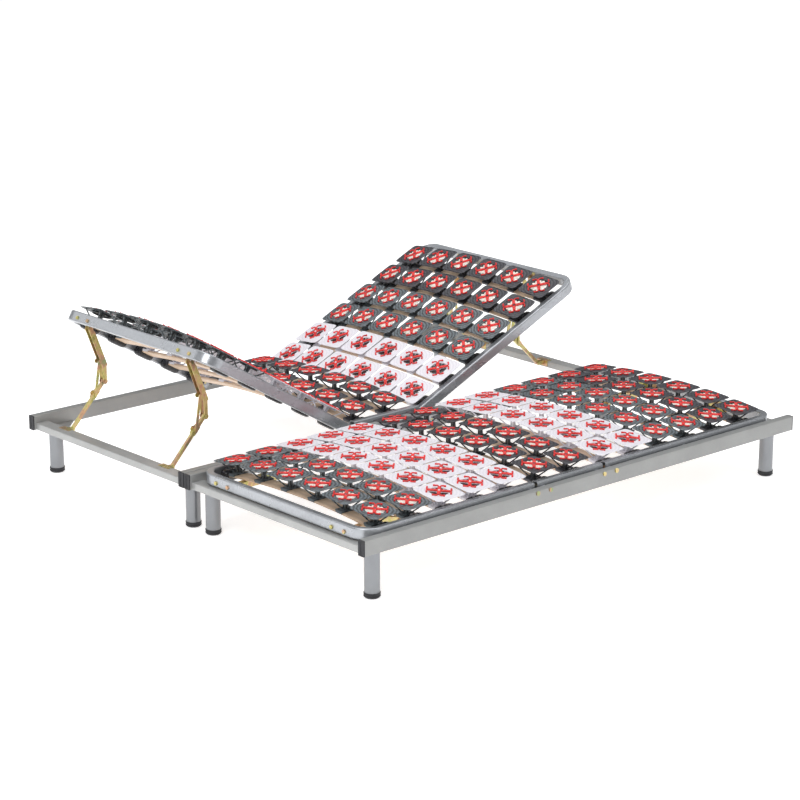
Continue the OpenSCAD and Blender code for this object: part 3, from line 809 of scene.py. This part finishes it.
class BED_OT_outer_frame(bpy.types.Operator):
    """Paint the side rails, cross rails, corner plates and legs"""

    bl_idname = "bed.outer_frame"
    bl_label = "Outer frame"

    def execute(self, context):
        paint_nodes(("side_rails", "corner_plates"), "silver_paint")
        # the cross rails take a lighter copy of the silver, as painted light
        paint_nodes(("cross_rails",), "cross_silver_painted_light")
        # the legs take a darker copy of the silver, as painted shade
        paint_nodes(("legs",), "legs_silver_painted_shade")
        paint_nodes(("rail_end_caps", "leg_feet"), "black_rubber")
        return {"FINISHED"}


class BED_OT_section_tubes(bpy.types.Operator):
    """Plate the bent section tubes and the seat rails"""

    bl_idname = "bed.section_tubes"
    bl_label = "Section tubes"

    def execute(self, context):
        paint_nodes(("_frame", "seat_rails", "pivot_spacers"), "bright_zinc")
        return {"FINISHED"}


class BED_OT_lifters(bpy.types.Operator):
    """Plate the folding lifters, their brackets and the bolts"""

    bl_idname = "bed.lifters"
    bl_label = "Lifters and bolts"

    def execute(self, context):
        paint_nodes(("_brackets", "_arms", "_links", "_bolts"), "yellow_zinc")
        return {"FINISHED"}


# ---------------------------------------------------------------- stage

FLOOR_HALF = 45.0
FLOOR_GLOW = 0.62
WORLD_STRENGTH = 0.6
# (height of the ray's direction: 0 at the horizon and below it, 1 straight up; brightness)
WORLD_LEVELS = ((0.0, 1.0), (0.02, 0.75), (0.10, 0.30), (0.42, 0.34), (0.6, 0.95), (1.0, 1.0))
WORLD_TINT = (0.97, 0.985, 1.0)
LIGHT_TARGET = Vector((0.0, 0.0, 0.2))
# name, place, (width, height) and energy of each soft light
LIGHTS = (
    ("key", (3.0, -5.5, 4.5), (3.5, 3.0), 170.0),
    ("overhead", (-0.5, 0.5, 5.5), (5.0, 5.0), 150.0),
    ("side", (6.0, 1.5, 2.6), (3.0, 2.0), 42.0),
    ("left", (-5.4, -4.2, 3.2), (3.2, 3.0), 30.0),
)
CAMERA_TARGET = Vector((-0.2007, 0.1289, 0.2))


def lay_floor(scene):
    """A wide, pale and faintly glowing floor."""
    h = FLOOR_HALF
    mesh = bpy.data.meshes.new("floor")
    mesh.from_pydata([(-h, -h, 0), (h, -h, 0), (h, h, 0), (-h, h, 0)], [], [(0, 1, 2, 3)])
    floor = bpy.data.objects.new("floor", mesh)
    scene.collection.objects.link(floor)
    f = Finish("pale_floor")
    f.shader.inputs["Roughness"].default_value = 0.9
    f.shader.inputs["Specular IOR Level"].default_value = 0.0
    f.shader.inputs["Emission Color"].default_value = (1.0, 1.0, 1.0, 1.0)
    f.shader.inputs["Emission Strength"].default_value = FLOOR_GLOW
    f.colour(f.ramp(f.noise(0.6), "Fac", [(0.0, (0.84, 0.84, 0.84)), (1.0, (0.86, 0.86, 0.86))]))
    mesh.materials.append(f.material)


def light_studio(scene):
    """Surroundings that are bright at the horizon and overhead, and dim between."""
    world = bpy.data.worlds.new("studio")
    scene.world = world
    world.use_nodes = True
    tree = world.node_tree
    background = tree.nodes["Background"]
    background.inputs["Strength"].default_value = WORLD_STRENGTH
    coord = tree.nodes.new("ShaderNodeTexCoord")
    split = tree.nodes.new("ShaderNodeSeparateXYZ")
    ramp = tree.nodes.new("ShaderNodeValToRGB")
    band = ramp.color_ramp
    while len(band.elements) < len(WORLD_LEVELS):
        band.elements.new(0.5)
    for element, (at, level) in zip(band.elements, WORLD_LEVELS):
        element.position = at
        element.color = (*(level * tint for tint in WORLD_TINT), 1.0)
    tree.links.new(coord.outputs["Generated"], split.inputs["Vector"])
    tree.links.new(split.outputs["Z"], ramp.inputs["Fac"])
    tree.links.new(ramp.outputs["Color"], background.inputs["Color"])


def soft_light(scene, name, place, size, energy):
    """A rectangular area light turned to the bed."""
    data = bpy.data.lights.new(name, "AREA")
    data.shape = "RECTANGLE"
    data.size, data.size_y = size
    data.energy = energy
    lamp = bpy.data.objects.new(name, data)
    lamp.location = place
    aim = LIGHT_TARGET - lamp.location
    lamp.rotation_euler = aim.to_track_quat("-Z", "Y").to_euler()
    scene.collection.objects.link(lamp)


def set_camera(scene):
    """The camera on its heading and pitch, looking at its target."""
    view = scene.bed_view
    back = Vector((math.sin(view.heading) * math.cos(view.pitch),
                   -math.cos(view.heading) * math.cos(view.pitch), math.sin(view.pitch)))
    data = bpy.data.cameras.new("camera")
    data.sensor_width = 36.0
    data.lens = view.lens
    data.clip_end = 200.0
    camera = bpy.data.objects.new("camera", data)
    camera.location = CAMERA_TARGET + back * view.distance
    camera.rotation_euler = back.to_track_quat("Z", "Y").to_euler()
    scene.collection.objects.link(camera)
    scene.camera = camera


class BED_OT_stage(bpy.types.Operator):
    """Set the floor, the lights and the camera"""

    bl_idname = "bed.stage"
    bl_label = "Stage"

    def execute(self, context):
        scene = context.scene
        scene.view_settings.view_transform = "Standard"
        lay_floor(scene)
        light_studio(scene)
        for name, place, size, energy in LIGHTS:
            soft_light(scene, name, place, size, energy)
        set_camera(scene)
        return {"FINISHED"}


# ---------------------------------------------------------------- panel and running


class BED_PT_panel(bpy.types.Panel):
    """Lists the sizes, the colours and the pieces of the bed base"""

    bl_idname = "BED_PT_panel"
    bl_label = "Adjustable Bed Base"
    bl_space_type = "VIEW_3D"
    bl_region_type = "UI"
    bl_category = "Bed Base"

    def draw(self, context):
        for group in (context.scene.bed_sizes, context.scene.bed_colours, context.scene.bed_view):
            for name in group.__annotations__:
                self.layout.prop(group, name)
        for operator in OPERATORS:
            self.layout.operator(operator.bl_idname)


OPERATORS = (
    BED_OT_stage,
    BED_OT_outer_frame,
    BED_OT_section_tubes,
    BED_OT_lifters,
    BED_OT_slats,
    BED_OT_holders,
    BED_OT_pads,
    BED_OT_inserts,
)
CLASSES = (BedSizes, BedColours, BedView) + OPERATORS + (BED_PT_panel,)


def register():
    for cls in CLASSES:
        bpy.utils.register_class(cls)
    bpy.types.Scene.bed_sizes = bpy.props.PointerProperty(type=BedSizes)
    bpy.types.Scene.bed_colours = bpy.props.PointerProperty(type=BedColours)
    bpy.types.Scene.bed_view = bpy.props.PointerProperty(type=BedView)


def unregister():
    del bpy.types.Scene.bed_view
    del bpy.types.Scene.bed_colours
    del bpy.types.Scene.bed_sizes
    for cls in reversed(CLASSES):
        bpy.utils.unregister_class(cls)


def main():
    register()
    for operator in OPERATORS:
        group, name = operator.bl_idname.split(".")
        getattr(getattr(bpy.ops, group), name)()


if __name__ == "__main__":
    main()
